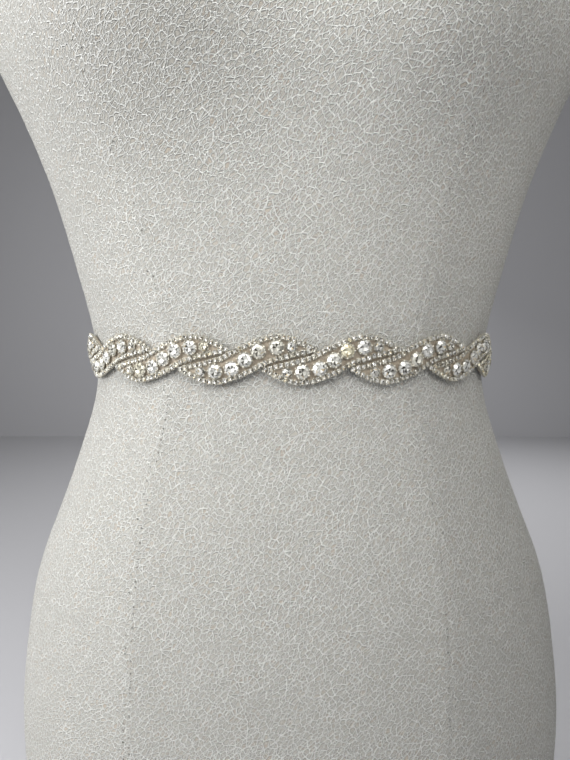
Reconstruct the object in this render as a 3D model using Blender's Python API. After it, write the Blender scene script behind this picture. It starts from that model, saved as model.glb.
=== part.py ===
"""Crystal-trimmed waist sash on a limbless dress form. Metres, +Z up, front towards -Y."""

import math

import bpy
from mathutils import Vector
from mathutils.geometry import delaunay_2d_cdt

MM = 0.001

# Dress form, sizes in mm. Heights are measured from the middle of the sash.
SASH_HEIGHT = 345.0
FORM_SIDES = 56
ROUNDNESS = 2.2
ARM_PLATE_X = 176.0
SECTION_COLUMNS = ("height", "half_width", "front_depth", "back_depth")
FORM_SECTIONS = (
    (-345.0, 163.0, 93.0, 108.0),
    (-341.0, 167.0, 96.0, 112.0),
    (-300.0, 171.5, 101.0, 121.0),
    (-260.0, 173.8, 105.0, 127.0),
    (-220.0, 173.8, 108.5, 130.5),
    (-185.0, 170.0, 110.5, 130.5),
    (-155.0, 165.3, 111.0, 128.5),
    (-128.0, 158.7, 110.0, 125.0),
    (-103.0, 149.2, 108.0, 121.0),
    (-78.0, 139.3, 105.0, 117.0),
    (-53.0, 130.5, 101.5, 114.0),
    (-33.0, 124.0, 99.2, 112.4),
    (-13.0, 120.3, 97.6, 111.6),
    (13.0, 122.2, 98.2, 111.6),
    (36.0, 127.6, 99.6, 112.0),
    (62.0, 134.4, 101.8, 112.6),
    (90.0, 142.0, 105.5, 113.6),
    (118.0, 151.5, 110.5, 115.0),
    (143.0, 162.0, 116.0, 116.4),
    (165.0, 172.5, 119.5, 117.6),
    (185.0, 179.5, 120.5, 118.6),
    (205.0, 184.0, 118.0, 119.4),
    (225.0, 186.0, 113.0, 119.8),
    (245.0, 186.0, 105.5, 119.4),
    (265.0, 184.5, 95.5, 117.6),
    (282.0, 181.5, 84.5, 114.4),
    (296.0, 176.5, 74.0, 109.6),
    (308.0, 161.0, 65.0, 103.5),
    (319.0, 137.5, 57.5, 96.0),
    (329.0, 113.5, 52.0, 88.0),
    (338.0, 92.0, 48.5, 80.0),
    (347.0, 74.0, 46.5, 72.5),
    (358.0, 62.5, 46.0, 66.0),
    (374.0, 57.5, 46.5, 62.0),
    (402.0, 56.0, 48.0, 60.0),
    (405.0, 53.0, 45.0, 57.0),
)
BUST_APART = 82.0
BUST_HEIGHT = 170.0
BUST_DEPTH = 26.0
BUST_SPREAD_SIDE = 44.0
BUST_SPREAD_UP = 62.0
BUST_SPREAD_DOWN = 40.0
AXIS_SHIFT = 2.6

# Sash layers, in mm out from the form.
GAP = 0.3
BAND_THICK = 1.0
MOTIF_GAP = 0.35
BAND_UNDER = GAP
BAND_FACE = BAND_UNDER + BAND_THICK
MOTIF_UNDER = BAND_FACE + MOTIF_GAP
MOTIF_FACE = MOTIF_UNDER + 0.9
CHAIN_CREST = MOTIF_UNDER + 1.7
LARGE_TOP = MOTIF_UNDER + 2.9
SMALL_TOP = MOTIF_UNDER + 2.3
STRIP_HALF = 13.0
MEASURED_AT = 1.9

# Trim pattern, in mm along the sash and up it, from the middle of one motif.
MOTIF_COUNT = 16
MOTIF_PITCH = 43.3
CHAIN_HALF = 1.3
CHAIN_STEPS = 18
MIN_OPENING = 0.9
CHAIN_COLUMNS = ("along", "up")
LOWER_CHAIN = (
    (-33.6, -4.9),
    (-30.8, -6.4),
    (-27.7, -8.0),
    (-23.6, -9.8),
    (-18.6, -11.1),
    (-13.6, -11.1),
    (-8.2, -9.8),
    (-3.2, -8.0),
    (1.5, -5.9),
    (4.6, -4.4),
    (8.2, -2.3),
    (11.0, -0.9),
    (15.0, 0.3),
    (19.0, 1.4),
    (23.0, 2.4),
    (26.6, 3.2),
    (30.1, 4.0),
    (33.6, 4.9),
)
STONE_COLUMNS = ("along", "up", "size")
STONES = (
    (0.0, 0.0, "large"),
    (6.7, 4.3, "large"),
    (-6.7, -4.3, "large"),
    (15.2, 6.0, "large"),
    (-15.2, -6.0, "large"),
    (22.6, 6.3, "small"),
    (-22.6, -6.3, "small"),
)
STONE_SIZES = {
    "large": {"foot": 3.2, "table": 2.3, "sides": 8, "top": LARGE_TOP},
    "small": {"foot": 1.9, "table": 1.3, "sides": 6, "top": SMALL_TOP},
}

# Band outline and the closure at the middle of the back, in mm.
BAND_INSET = 0.5
BAND_STEPS = 12
TAPE_HALF = 4.0
BAND_END = 1.0
PLATE_THICK = 0.7
PLATE_HALF = 3.0
PLATE_REACH = 7.0
BAR_FROM = 0.6
BAR_TO = 1.8
EYE_TO = 4.0
EYE_HALF = 2.0
HOOK_HALF = 1.4
HOOK_LIFT = 1.0
HOOK_TIP_FROM = 2.3
HOOK_TIP_TO = 3.2


def clear_scene():
    for obj in list(bpy.data.objects):
        bpy.data.objects.remove(obj, do_unlink=True)


def tangents(xs, ys):
    """Slopes for a curve that never overshoots its points."""
    steps = [(ys[i + 1] - ys[i]) / (xs[i + 1] - xs[i]) for i in range(len(xs) - 1)]
    slopes = [steps[0]]
    for before, after in zip(steps, steps[1:]):
        same_way = before * after > 0
        slopes.append(2 * before * after / (before + after) if same_way else 0.0)
    slopes.append(steps[-1])
    return slopes


def curve_through(points):
    """A function through (x, y) points, smooth between them."""
    xs = [point[0] for point in points]
    ys = [point[1] for point in points]
    slopes = tangents(xs, ys)

    def value(x):
        x = min(max(x, xs[0]), xs[-1])
        i = max(i for i in range(len(xs) - 1) if xs[i] <= x)
        width = xs[i + 1] - xs[i]
        t = (x - xs[i]) / width
        start = (1 + 2 * t) * (1 - t) ** 2 * ys[i] + t * (1 - t) ** 2 * width * slopes[i]
        end = t * t * (3 - 2 * t) * ys[i + 1] - t * t * (1 - t) * width * slopes[i + 1]
        return start + end

    return value


def column(name):
    place = SECTION_COLUMNS.index(name)
    return curve_through([(row[0], row[place]) for row in FORM_SECTIONS])


half_width = column("half_width")
front_depth = column("front_depth")
back_depth = column("back_depth")


def bust(x, height):
    spread = BUST_SPREAD_UP if height > BUST_HEIGHT else BUST_SPREAD_DOWN
    rise = math.exp(-(((height - BUST_HEIGHT) / spread) ** 2) / 2)
    sides = [((x - side * BUST_APART) / BUST_SPREAD_SIDE) ** 2 for side in (-1, 1)]
    return BUST_DEPTH * rise * sum(math.exp(-side / 2) for side in sides)


def form_point(angle, height):
    """The form's surface in mm, at an angle from the front and a height from the sash."""
    across = math.sin(angle)
    ahead = math.cos(angle)
    depth = front_depth(height) if ahead > 0 else back_depth(height)
    reach = abs(across / half_width(height)) ** ROUNDNESS + abs(ahead / depth) ** ROUNDNESS
    radius = reach ** (-1 / ROUNDNESS)
    x = radius * across
    y = -radius * ahead
    if ahead > 0:
        y -= bust(x, height) * ahead ** 0.5
    x = min(max(x, -ARM_PLATE_X), ARM_PLATE_X)
    return Vector((x, y + AXIS_SHIFT, height + SASH_HEIGHT))


def strip_frame(angle):
    """The form at the sash: a point on the lower line, one on the upper, and the way out."""
    low = form_point(angle, -STRIP_HALF)
    high = form_point(angle, STRIP_HALF)
    step = 0.002
    ahead = form_point(angle + step, 0.0) - form_point(angle - step, 0.0)
    out = ahead.cross(high - low).normalized()
    return low, high, out


def arc_table():
    """(length, angle) rows from the middle of the front to the middle of the back."""
    count = 720
    rows = [(0.0, 0.0)]
    before = None
    for i in range(count + 1):
        angle = math.pi * i / count
        low, high, out = strip_frame(angle)
        point = (low + high) / 2 + out * MEASURED_AT
        if before is not None:
            rows.append((rows[-1][0] + (point - before).length, angle))
        before = point
    return rows


ARC = arc_table()
HALF_RING = ARC[-1][0]


def angle_at(along):
    """The angle at a length along the sash, from the middle of the front."""
    length = abs(along)
    low = 0
    high = len(ARC) - 1
    while high - low > 1:
        middle = (low + high) // 2
        if ARC[middle][0] <= length:
            low = middle
        else:
            high = middle
    share = (length - ARC[low][0]) / (ARC[high][0] - ARC[low][0])
    angle = ARC[low][1] + share * (ARC[high][1] - ARC[low][1])
    return math.copysign(angle, along)


def on_form(along, up, out):
    """A point of the sash in metres, from its place on the flat strip."""
    low, high, way = strip_frame(angle_at(along))
    share = (up + STRIP_HALF) / (2 * STRIP_HALF)
    return (low + (high - low) * share + way * out) * MM


def on_back(along, up, out):
    """The same from the middle of the back."""
    around = along - HALF_RING if along > 0 else along + HALF_RING
    return on_form(around, up, out)


def add_object(name, points, faces, colour, rough, metal=0.0):
    mesh = bpy.data.meshes.new(name)
    mesh.from_pydata([tuple(point) for point in points], [], faces)
    mesh.update()
    material = bpy.data.materials.new(name + "_finish")
    material.use_nodes = True
    shader = material.node_tree.nodes["Principled BSDF"]
    shader.inputs["Base Color"].default_value = (*colour, 1.0)
    shader.inputs["Roughness"].default_value = rough
    shader.inputs["Metallic"].default_value = metal
    mesh.materials.append(material)
    obj = bpy.data.objects.new(name, mesh)
    bpy.context.scene.collection.objects.link(obj)
    return obj


def build_form():
    points = []
    faces = []
    for row in FORM_SECTIONS:
        for i in range(FORM_SIDES):
            points.append(form_point(2 * math.pi * i / FORM_SIDES, row[0]) * MM)
    for level in range(len(FORM_SECTIONS) - 1):
        for i in range(FORM_SIDES):
            after = (i + 1) % FORM_SIDES
            here = level * FORM_SIDES
            above = here + FORM_SIDES
            faces.append((here + i, here + after, above + after, above + i))
    top = (len(FORM_SECTIONS) - 1) * FORM_SIDES
    faces.append(tuple(range(FORM_SIDES - 1, -1, -1)))
    faces.append(tuple(top + i for i in range(FORM_SIDES)))
    return add_object("form_torso", points, faces, (0.62, 0.61, 0.57), 0.85)


lower_line = curve_through(LOWER_CHAIN)


def upper_line(along):
    return -lower_line(-along)


def slope_of(line, along):
    return (line(along + 0.1) - line(along - 0.1)) / 0.2


def motif_middles():
    first = -MOTIF_PITCH * (MOTIF_COUNT - 1) / 2
    return [first + MOTIF_PITCH * i for i in range(MOTIF_COUNT)]


def chain_stations():
    """Places along the motif from tip to tip, even along the chain itself."""
    tip = LOWER_CHAIN[-1][0]
    fine = [-tip + 2 * tip * i / 400 for i in range(401)]
    lengths = [0.0]
    for before, after in zip(fine, fine[1:]):
        lengths.append(lengths[-1] + math.hypot(after - before, lower_line(after) - lower_line(before)))
    stations = []
    for step in range(CHAIN_STEPS + 1):
        wanted = lengths[-1] * step / CHAIN_STEPS
        i = min(range(401), key=lambda k: abs(lengths[k] - wanted))
        stations.append(fine[i])
    return stations


def offset_line(line, stations, way):
    """Points to one side of a chain line."""
    found = []
    for along in stations:
        slope = slope_of(line, along)
        size = math.hypot(1.0, slope)
        found.append((along - way * slope / size, line(along) + way / size))
    return found


def motif_rings():
    """Closed outlines of the motif, turning left: outer edge, chain crest, inner edge."""
    stations = chain_stations()
    inside = stations[1:-1]
    back = [-along for along in inside]
    tip = (LOWER_CHAIN[-1][0], LOWER_CHAIN[-1][1])
    reach = math.hypot(tip[0], tip[1] - 1.2)
    far = (tip[0] + CHAIN_HALF * tip[0] / reach, tip[1] + CHAIN_HALF * 0.1)
    near = (-far[0], -far[1])
    lower = offset_line(lower_line, inside, -CHAIN_HALF)
    edge = [near] + lower + [far] + [(-x, -y) for x, y in lower]
    lower = [(along, lower_line(along)) for along in inside]
    crest = [(-tip[0], -tip[1])] + lower + [tip] + [(-x, -y) for x, y in lower]
    wide = [a for a in inside if upper_line(a) - lower_line(a) > 2 * CHAIN_HALF + MIN_OPENING]
    wide = [a for a in wide if -a in wide or any(abs(a + b) < 1.5 for b in wide)]
    lower = offset_line(lower_line, wide, CHAIN_HALF)
    opening = lower + [(-x, -y) for x, y in lower]
    return edge, crest, opening


def ring_edges(start, count):
    return [(start + i, start + (i + 1) % count) for i in range(count)]


def circle(along, up, radius, sides):
    turns = [2 * math.pi * (i + 0.5) / sides for i in range(sides)]
    return [(along + radius * math.cos(t), up + radius * math.sin(t)) for t in turns]


def motif_sheets():
    """The raised outer sheet and the plain inner one, on the flat."""
    edge, crest, opening = motif_rings()
    rings = [(edge, MOTIF_FACE), (crest, CHAIN_CREST), (opening, MOTIF_FACE)]
    for along, up, size in STONES:
        stone = STONE_SIZES[size]
        rings.append((circle(along, up, stone["foot"], stone["sides"]), MOTIF_FACE))
        rings.append((circle(along, up, stone["table"], stone["sides"]), stone["top"]))
    places = []
    heights = []
    edges = []
    for ring, height in rings:
        edges += ring_edges(len(places), len(ring))
        places += [Vector(point) for point in ring]
        heights += [height] * len(ring)
    outline = [list(range(len(edge)))]
    raised = delaunay_2d_cdt(places, edges, outline, 1, 1e-5)
    flat = delaunay_2d_cdt(places[: len(edge)], [], outline, 1, 1e-5)
    return len(edge), raised, heights, flat


EDGE_COUNT, RAISED, HEIGHTS, FLAT = motif_sheets()


def turned_left(face, places):
    a, b, c = (places[i] for i in face[:3])
    return (b - a).cross(c - b) > 0


def build_motif(name, middle):
    places, _, faces, origins = RAISED[0], RAISED[1], RAISED[2], RAISED[3]
    points = []
    for place, origin in zip(places, origins):
        points.append(on_form(middle + place.x, place.y, HEIGHTS[origin[0]]))
    own = {origin[0]: i for i, origin in enumerate(origins) if origin[0] < EDGE_COUNT}
    solid = [tuple(f) if turned_left(f, places) else tuple(reversed(f)) for f in faces]
    under = len(points)
    flat_places, flat_faces, flat_origins = FLAT[0], FLAT[2], FLAT[3]
    for place in flat_places:
        points.append(on_form(middle + place.x, place.y, MOTIF_UNDER))
    below = {origin[0]: under + i for i, origin in enumerate(flat_origins)}
    for face in flat_faces:
        kept = reversed(face) if turned_left(face, flat_places) else face
        solid.append(tuple(under + i for i in kept))
    for i in range(EDGE_COUNT):
        after = (i + 1) % EDGE_COUNT
        solid.append((own[i], below[i], below[after], own[after]))
    return add_object(name, points, solid, (0.80, 0.80, 0.77), 0.15, 0.6)


def band_outline(along):
    """How far the band reaches up and down at a place along the sash."""
    tip = LOWER_CHAIN[-1][0]
    top = TAPE_HALF
    bottom = -TAPE_HALF
    for middle in motif_middles():
        local = along - middle
        if abs(local) > tip:
            continue
        rise = CHAIN_HALF * math.hypot(1.0, slope_of(upper_line, local)) - BAND_INSET
        fall = CHAIN_HALF * math.hypot(1.0, slope_of(lower_line, local)) - BAND_INSET
        top = max(top, upper_line(local) + rise)
        bottom = min(bottom, lower_line(local) - fall)
    return bottom, top


def build_band():
    end = HALF_RING - BAND_END
    count = round(2 * end / (MOTIF_PITCH / BAND_STEPS))
    stations = [-end + 2 * end * i / count for i in range(count + 1)]
    points = []
    for along in stations:
        bottom, top = band_outline(along)
        points.append(on_form(along, bottom, BAND_UNDER))
        points.append(on_form(along, top, BAND_UNDER))
        points.append(on_form(along, top, BAND_FACE))
        points.append(on_form(along, bottom, BAND_FACE))
    faces = [(3, 2, 1, 0)]
    for i in range(count):
        here = 4 * i
        after = here + 4
        for side in range(4):
            turn = (side + 1) % 4
            faces.append((here + side, here + turn, after + turn, after + side))
    last = 4 * count
    faces.append((last, last + 1, last + 2, last + 3))
    return add_object("sash_band", points, faces, (0.45, 0.40, 0.32), 0.7)


def build_hook():
    """A flat hook, drawn in profile and given its width."""
    low = MOTIF_UNDER
    mid = low + PLATE_THICK
    lift = low + HOOK_LIFT
    profile = (
        (-PLATE_REACH, low),
        (-0.6, low),
        (0.0, lift),
        (HOOK_TIP_FROM, lift),
        (HOOK_TIP_FROM, low),
        (HOOK_TIP_TO, low),
        (HOOK_TIP_TO, lift + PLATE_THICK),
        (-0.4, lift + PLATE_THICK),
        (-1.2, mid),
        (-PLATE_REACH, mid),
    )
    count = len(profile)
    points = [on_back(along, -HOOK_HALF, out) for along, out in profile]
    points += [on_back(along, HOOK_HALF, out) for along, out in profile]
    faces = [tuple(range(count)), tuple(count + i for i in reversed(range(count)))]
    for i in range(count):
        after = (i + 1) % count
        faces.append((i, count + i, count + after, after))
    return add_object("closure_hook", points, faces, (0.55, 0.55, 0.53), 0.3, 1.0)


def build_eye():
    """A flat plate with the opening that the hook goes through."""
    outer = ((BAR_FROM, -1), (PLATE_REACH, -1), (PLATE_REACH, 1), (BAR_FROM, 1))
    inner = ((BAR_TO, -1), (EYE_TO, -1), (EYE_TO, 1), (BAR_TO, 1))
    points = []
    for out in (MOTIF_UNDER, MOTIF_UNDER + PLATE_THICK):
        points += [on_back(along, side * PLATE_HALF, out) for along, side in outer]
        points += [on_back(along, side * EYE_HALF, out) for along, side in inner]
    faces = []
    for i in range(4):
        after = (i + 1) % 4
        faces.append((8 + i, 8 + after, 12 + after, 12 + i))
        faces.append((i, 4 + i, 4 + after, after))
        faces.append((i, after, 8 + after, 8 + i))
        faces.append((4 + i, 12 + i, 12 + after, 4 + after))
    return add_object("closure_eye", points, faces, (0.55, 0.55, 0.53), 0.3, 1.0)


def main():
    clear_scene()
    build_form()
    build_band()
    for number, middle in enumerate(motif_middles(), 1):
        build_motif("crystal_motif_%02d" % number, middle)
    build_hook()
    build_eye()


main()
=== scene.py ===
"""Crystal-trimmed bridal sash on a limbless dress form, laid out as a Blender add-on."""

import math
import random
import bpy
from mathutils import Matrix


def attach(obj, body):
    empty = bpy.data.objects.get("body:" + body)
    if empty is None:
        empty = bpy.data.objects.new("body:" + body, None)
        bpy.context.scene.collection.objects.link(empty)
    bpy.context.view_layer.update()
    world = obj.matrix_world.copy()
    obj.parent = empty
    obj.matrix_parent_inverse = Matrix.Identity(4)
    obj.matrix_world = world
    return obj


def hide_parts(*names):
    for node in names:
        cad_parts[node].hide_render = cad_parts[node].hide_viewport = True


bl_info = {
    "name": "Bridal sash on a dress form",
    "version": (1, 0, 0),
    "blender": (4, 5, 0),
    "location": "3D View > Sidebar > Sash",
    "description": "Builds a crystal-trimmed waist sash and the covered dress form that wears it",
    "category": "Object",
}

import bpy
import numpy as np
from mathutils import Vector

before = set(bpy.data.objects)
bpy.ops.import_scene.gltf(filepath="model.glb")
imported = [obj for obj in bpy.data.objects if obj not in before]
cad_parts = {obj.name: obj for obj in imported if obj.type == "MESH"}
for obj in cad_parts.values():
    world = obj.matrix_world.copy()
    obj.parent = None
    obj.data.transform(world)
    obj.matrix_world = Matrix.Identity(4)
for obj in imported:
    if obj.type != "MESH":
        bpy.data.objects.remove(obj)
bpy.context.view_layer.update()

MM = 0.001

# The dress form in mm, heights measured from the middle of the sash.
SASH_HEIGHT = 345.0
ROUNDNESS = 2.2
ARM_PLATE_X = 176.0
SECTION_COLUMNS = ("height", "half_width", "front_depth", "back_depth")
FORM_SECTIONS = (
    (-345.0, 163.0, 93.0, 108.0),
    (-341.0, 167.0, 96.0, 112.0),
    (-300.0, 171.5, 101.0, 121.0),
    (-260.0, 173.8, 105.0, 127.0),
    (-220.0, 173.8, 108.5, 130.5),
    (-185.0, 170.0, 110.5, 130.5),
    (-155.0, 165.3, 111.0, 128.5),
    (-128.0, 158.7, 110.0, 125.0),
    (-103.0, 149.2, 108.0, 121.0),
    (-78.0, 139.3, 105.0, 117.0),
    (-53.0, 130.5, 101.5, 114.0),
    (-33.0, 124.0, 99.2, 112.4),
    (-13.0, 120.3, 97.6, 111.6),
    (13.0, 122.2, 98.2, 111.6),
    (36.0, 127.6, 99.6, 112.0),
    (62.0, 134.4, 101.8, 112.6),
    (90.0, 142.0, 105.5, 113.6),
    (118.0, 151.5, 110.5, 115.0),
    (143.0, 162.0, 116.0, 116.4),
    (165.0, 172.5, 119.5, 117.6),
    (185.0, 179.5, 120.5, 118.6),
    (205.0, 184.0, 118.0, 119.4),
    (225.0, 186.0, 113.0, 119.8),
    (245.0, 186.0, 105.5, 119.4),
    (265.0, 184.5, 95.5, 117.6),
    (282.0, 181.5, 84.5, 114.4),
    (296.0, 176.5, 74.0, 109.6),
    (308.0, 161.0, 65.0, 103.5),
    (319.0, 137.5, 57.5, 96.0),
    (329.0, 113.5, 52.0, 88.0),
    (338.0, 92.0, 48.5, 80.0),
    (347.0, 74.0, 46.5, 72.5),
    (358.0, 62.5, 46.0, 66.0),
    (374.0, 57.5, 46.5, 62.0),
    (402.0, 56.0, 48.0, 60.0),
    (405.0, 53.0, 45.0, 57.0),
)
BUST_APART = 82.0
BUST_HEIGHT = 170.0
BUST_DEPTH = 26.0
BUST_SPREAD_SIDE = 44.0
BUST_SPREAD_UP = 62.0
BUST_SPREAD_DOWN = 40.0
AXIS_SHIFT = 2.6

# Where the cover's panels are joined: angle from the front, in degrees, at each height.
SEAM_COLUMNS = ("height", "front_seam", "back_seam")
PANEL_SEAMS = (
    (-345.0, 41.0, 139.0),
    (-200.0, 40.4, 140.0),
    (-163.0, 39.5, 140.5),
    (-121.0, 39.3, 141.0),
    (-82.0, 39.4, 141.5),
    (-57.0, 38.0, 142.5),
    (-26.0, 36.0, 144.0),
    (-5.0, 36.0, 144.0),
    (14.0, 36.5, 143.5),
    (51.0, 39.0, 141.5),
    (109.0, 43.2, 139.0),
    (158.0, 43.6, 137.0),
    (200.0, 46.0, 135.0),
    (245.0, 51.0, 131.0),
    (280.0, 59.0, 124.0),
    (305.0, 69.0, 113.0),
    (322.0, 78.0, 102.0),
    (405.0, 80.0, 100.0),
)
SHOULDER_HEIGHT = 322.0
ARM_BOTTOM = 170.0
COVER_ROW = 4.0
COVER_BUMPS = 0.09
SEAM_NEAR = (0.45, 1.1, 2.4)
CREASE_RISE = 1.1
LEFT_CREASE = 0.8
RIGHT_CREASE = 0.6
CREASE_REACH = 6.5
GROOVE_DEPTH = 0.5
# Painted light and shade: the colour of the left side front is raised and that of the right side front lowered.
LEFT_PAINTED_LIGHT = 1.05
RIGHT_PAINTED_SHADE = 0.97

# Layers of the sash, in mm out from the form.
BAND_UNDER = 0.3
BAND_FACE = 1.3
MOTIF_UNDER = BAND_FACE + 0.35
MOTIF_FACE = MOTIF_UNDER + 0.55
CUP_FOOT = MOTIF_UNDER + 0.1
CHAIN_CREST = MOTIF_UNDER + 1.75
LARGE_TOP = MOTIF_UNDER + 2.95
SMALL_TOP = MOTIF_UNDER + 2.4
STRIP_HALF = 13.0
MEASURED_AT = 1.9

# The trim's pattern in mm along the sash and up it, from the middle of a motif.
MOTIF_COUNT = 16
MOTIF_PITCH = 43.3
LOWER_CHAIN = (
    (-33.6, -4.9),
    (-30.8, -6.4),
    (-27.7, -8.0),
    (-23.6, -9.8),
    (-18.6, -11.1),
    (-13.6, -11.1),
    (-8.2, -9.8),
    (-3.2, -8.0),
    (1.5, -5.9),
    (4.6, -4.4),
    (8.2, -2.3),
    (11.0, -0.9),
    (15.0, 0.3),
    (19.0, 1.4),
    (23.0, 2.4),
    (26.6, 3.2),
    (30.1, 4.0),
    (33.6, 4.9),
)
SET_STONES = (
    (0.0, 0.0, "large"),
    (6.7, 4.3, "large"),
    (-6.7, -4.3, "large"),
    (15.2, 6.0, "large"),
    (-15.2, -6.0, "large"),
    (22.6, 6.3, "small"),
    (-22.6, -6.3, "small"),
)
LINK_SPREAD = 1.2
# Step of the painted light and dark rays on the set stones' facets.
RAY_STEP = 0.3
TAPE_HALF = 4.0
BAND_INSET = 1.6
BAND_END = 1.0

WARM_MOTIFS = {11: 0.15, 12: 0.45, 13: 0.3}

BACKING, SILVER, CRYSTAL = 0, 1, 2


# --- the form's surface -------------------------------------------------------


def even_curve(points):
    """A curve through (x, y) points with no sudden bend, and straight runs at its two ends."""
    xs = np.array([point[0] for point in points])
    ys = np.array([point[1] for point in points])
    inner_x, inner_y = xs[1:-1], ys[1:-1]
    count = len(inner_x)
    gaps = np.diff(inner_x)
    rows = np.zeros((count, count))
    right = np.zeros(count)
    rows[0, 0] = rows[-1, -1] = 1.0
    for i in range(1, count - 1):
        rows[i, i - 1] = gaps[i - 1]
        rows[i, i] = 2 * (gaps[i - 1] + gaps[i])
        rows[i, i + 1] = gaps[i]
        steps = (inner_y[i + 1] - inner_y[i]) / gaps[i] - (inner_y[i] - inner_y[i - 1]) / gaps[i - 1]
        right[i] = 6 * steps
    bends = np.linalg.solve(rows, right)

    def value(x):
        x = np.asarray(x, float)
        ends = np.interp(x, xs, ys)
        i = np.clip(np.searchsorted(inner_x, x) - 1, 0, count - 2)
        width = inner_x[i + 1] - inner_x[i]
        b = (x - inner_x[i]) / width
        a = 1 - b
        sag = ((a**3 - a) * bends[i] + (b**3 - b) * bends[i + 1]) * width**2 / 6
        smooth = a * inner_y[i] + b * inner_y[i + 1] + sag
        return np.where((x < inner_x[0]) | (x > inner_x[-1]), ends, smooth)

    return value


def section_column(name):
    place = SECTION_COLUMNS.index(name)
    return even_curve([(row[0], row[place]) for row in FORM_SECTIONS])


half_width = section_column("half_width")
front_depth = section_column("front_depth")
back_depth = section_column("back_depth")


def seam_column(name):
    place = SEAM_COLUMNS.index(name)
    heights = [row[0] for row in PANEL_SEAMS]
    angles = [row[place] for row in PANEL_SEAMS]
    return lambda height: float(np.interp(height, heights, angles))


front_seam = seam_column("front_seam")
back_seam = seam_column("back_seam")


def bust(x, height):
    spread = np.where(height > BUST_HEIGHT, BUST_SPREAD_UP, BUST_SPREAD_DOWN)
    rise = np.exp(-(((height - BUST_HEIGHT) / spread) ** 2) / 2)
    total = 0.0
    for side in (-1, 1):
        total = total + np.exp(-(((x - side * BUST_APART) / BUST_SPREAD_SIDE) ** 2) / 2)
    return BUST_DEPTH * rise * total


def form_surface(angle, height, out=0.0):
    """Points of the form in mm, for angles from the front and heights from the sash."""
    angle = np.asarray(angle, float)
    height = np.asarray(height, float)
    across = np.sin(angle)
    ahead = np.cos(angle)
    depth = np.where(ahead > 0, front_depth(height), back_depth(height))
    reach = np.abs(across / half_width(height)) ** ROUNDNESS + np.abs(ahead / depth) ** ROUNDNESS
    radius = reach ** (-1 / ROUNDNESS)
    x = radius * across
    y = -radius * ahead
    share = np.clip(ahead / 0.3, 0, 1)
    y = y - bust(x, height) * share * share * (3 - 2 * share)
    x = np.clip(x, -ARM_PLATE_X, ARM_PLATE_X) + out * across
    y = y - out * ahead
    return np.stack([x, y + AXIS_SHIFT, height + SASH_HEIGHT + 0 * x], axis=-1)


def strip_frames(angle):
    """The form at the sash: points on the lower line, on the upper one, and the way out."""
    low = form_surface(angle, -STRIP_HALF)
    high = form_surface(angle, STRIP_HALF)
    step = 0.002
    ahead = form_surface(angle + step, 0.0) - form_surface(angle - step, 0.0)
    out = np.cross(ahead, high - low)
    return low, high, out / np.linalg.norm(out, axis=-1, keepdims=True)


def sash_lengths():
    angles = np.linspace(0, math.pi, 721)
    low, high, out = strip_frames(angles)
    middle = (low + high) / 2 + out * MEASURED_AT
    steps = np.linalg.norm(np.diff(middle, axis=0), axis=1)
    return angles, np.concatenate([[0.0], np.cumsum(steps)])


SASH_ANGLES, SASH_LENGTHS = sash_lengths()
HALF_RING = float(SASH_LENGTHS[-1])


def on_form(flat):
    """Points of the sash in metres, from rows of (along, up, out) in mm on the flat strip."""
    flat = np.asarray(flat, float)
    along = (flat[:, 0] + HALF_RING) % (2 * HALF_RING) - HALF_RING
    angle = np.sign(along) * np.interp(np.abs(along), SASH_LENGTHS, SASH_ANGLES)
    low, high, out = strip_frames(angle)
    share = (flat[:, 1:2] + STRIP_HALF) / (2 * STRIP_HALF)
    return (low + (high - low) * share + out * flat[:, 2:3]) * MM


lower_line = even_curve(((-34.6, -4.4),) + LOWER_CHAIN + ((34.6, 5.2),))


def upper_line(along):
    return -lower_line(-np.asarray(along, float))


def motif_middles():
    first = -MOTIF_PITCH * (MOTIF_COUNT - 1) / 2
    return [first + MOTIF_PITCH * i for i in range(MOTIF_COUNT)]


# --- work by hand in Blender --------------------------------------------------


def start_clean():
    if bpy.context.object and bpy.context.object.mode != "OBJECT":
        bpy.ops.object.mode_set(mode="OBJECT")
    bpy.ops.object.select_all(action="DESELECT")


def edit(select="DESELECT"):
    bpy.ops.object.mode_set(mode="EDIT")
    bpy.ops.mesh.select_mode(type="FACE")
    bpy.ops.mesh.select_all(action=select)


def done():
    bpy.ops.object.mode_set(mode="OBJECT")


def pick_faces(obj, test):
    """Selects in edit mode the faces whose middle and normal pass the test."""
    bpy.ops.object.mode_set(mode="OBJECT")
    for face in obj.data.polygons:
        face.select = bool(test(face.center, face.normal))
    bpy.ops.object.mode_set(mode="EDIT")


def named(name):
    obj = bpy.context.object
    obj.name = name
    obj.data.name = name
    return obj


def settle(obj):
    """Leaves the object at the origin, unturned, with its place in its mesh."""
    start_clean()
    obj.select_set(True)
    bpy.context.view_layer.objects.active = obj
    bpy.ops.object.transform_apply(location=True, rotation=True, scale=True)
    obj.select_set(False)


def face_out(obj):
    start_clean()
    obj.select_set(True)
    bpy.context.view_layer.objects.active = obj
    edit("SELECT")
    bpy.ops.mesh.normals_make_consistent(inside=False)
    done()


def mesh_arrays(obj):
    """(points in mm, faces, material numbers) of a finished model, which is then removed."""
    mesh = obj.data
    points = np.array([tuple(v.co) for v in mesh.vertices]) / MM
    faces = [tuple(p.vertices) for p in mesh.polygons]
    slots = [p.material_index for p in mesh.polygons]
    bpy.data.objects.remove(obj, do_unlink=True)
    bpy.data.meshes.remove(mesh)
    return points, faces, slots


def join_arrays(parts):
    points, faces, slots = [], [], []
    start = 0
    for part_points, part_faces, part_slots in parts:
        points.append(part_points)
        faces += [tuple(i + start for i in face) for face in part_faces]
        slots += list(part_slots)
        start += len(part_points)
    return np.concatenate(points), faces, slots


def placed(part, along, up, out, turn=0.0, size=1.0):
    points, faces, slots = part
    c, s = math.cos(turn), math.sin(turn)
    turned = np.empty_like(points)
    turned[:, 0] = along + size * (points[:, 0] * c - points[:, 1] * s)
    turned[:, 1] = up + size * (points[:, 0] * s + points[:, 1] * c)
    turned[:, 2] = out + size * points[:, 2]
    return turned, faces, slots


# --- materials ----------------------------------------------------------------


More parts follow.
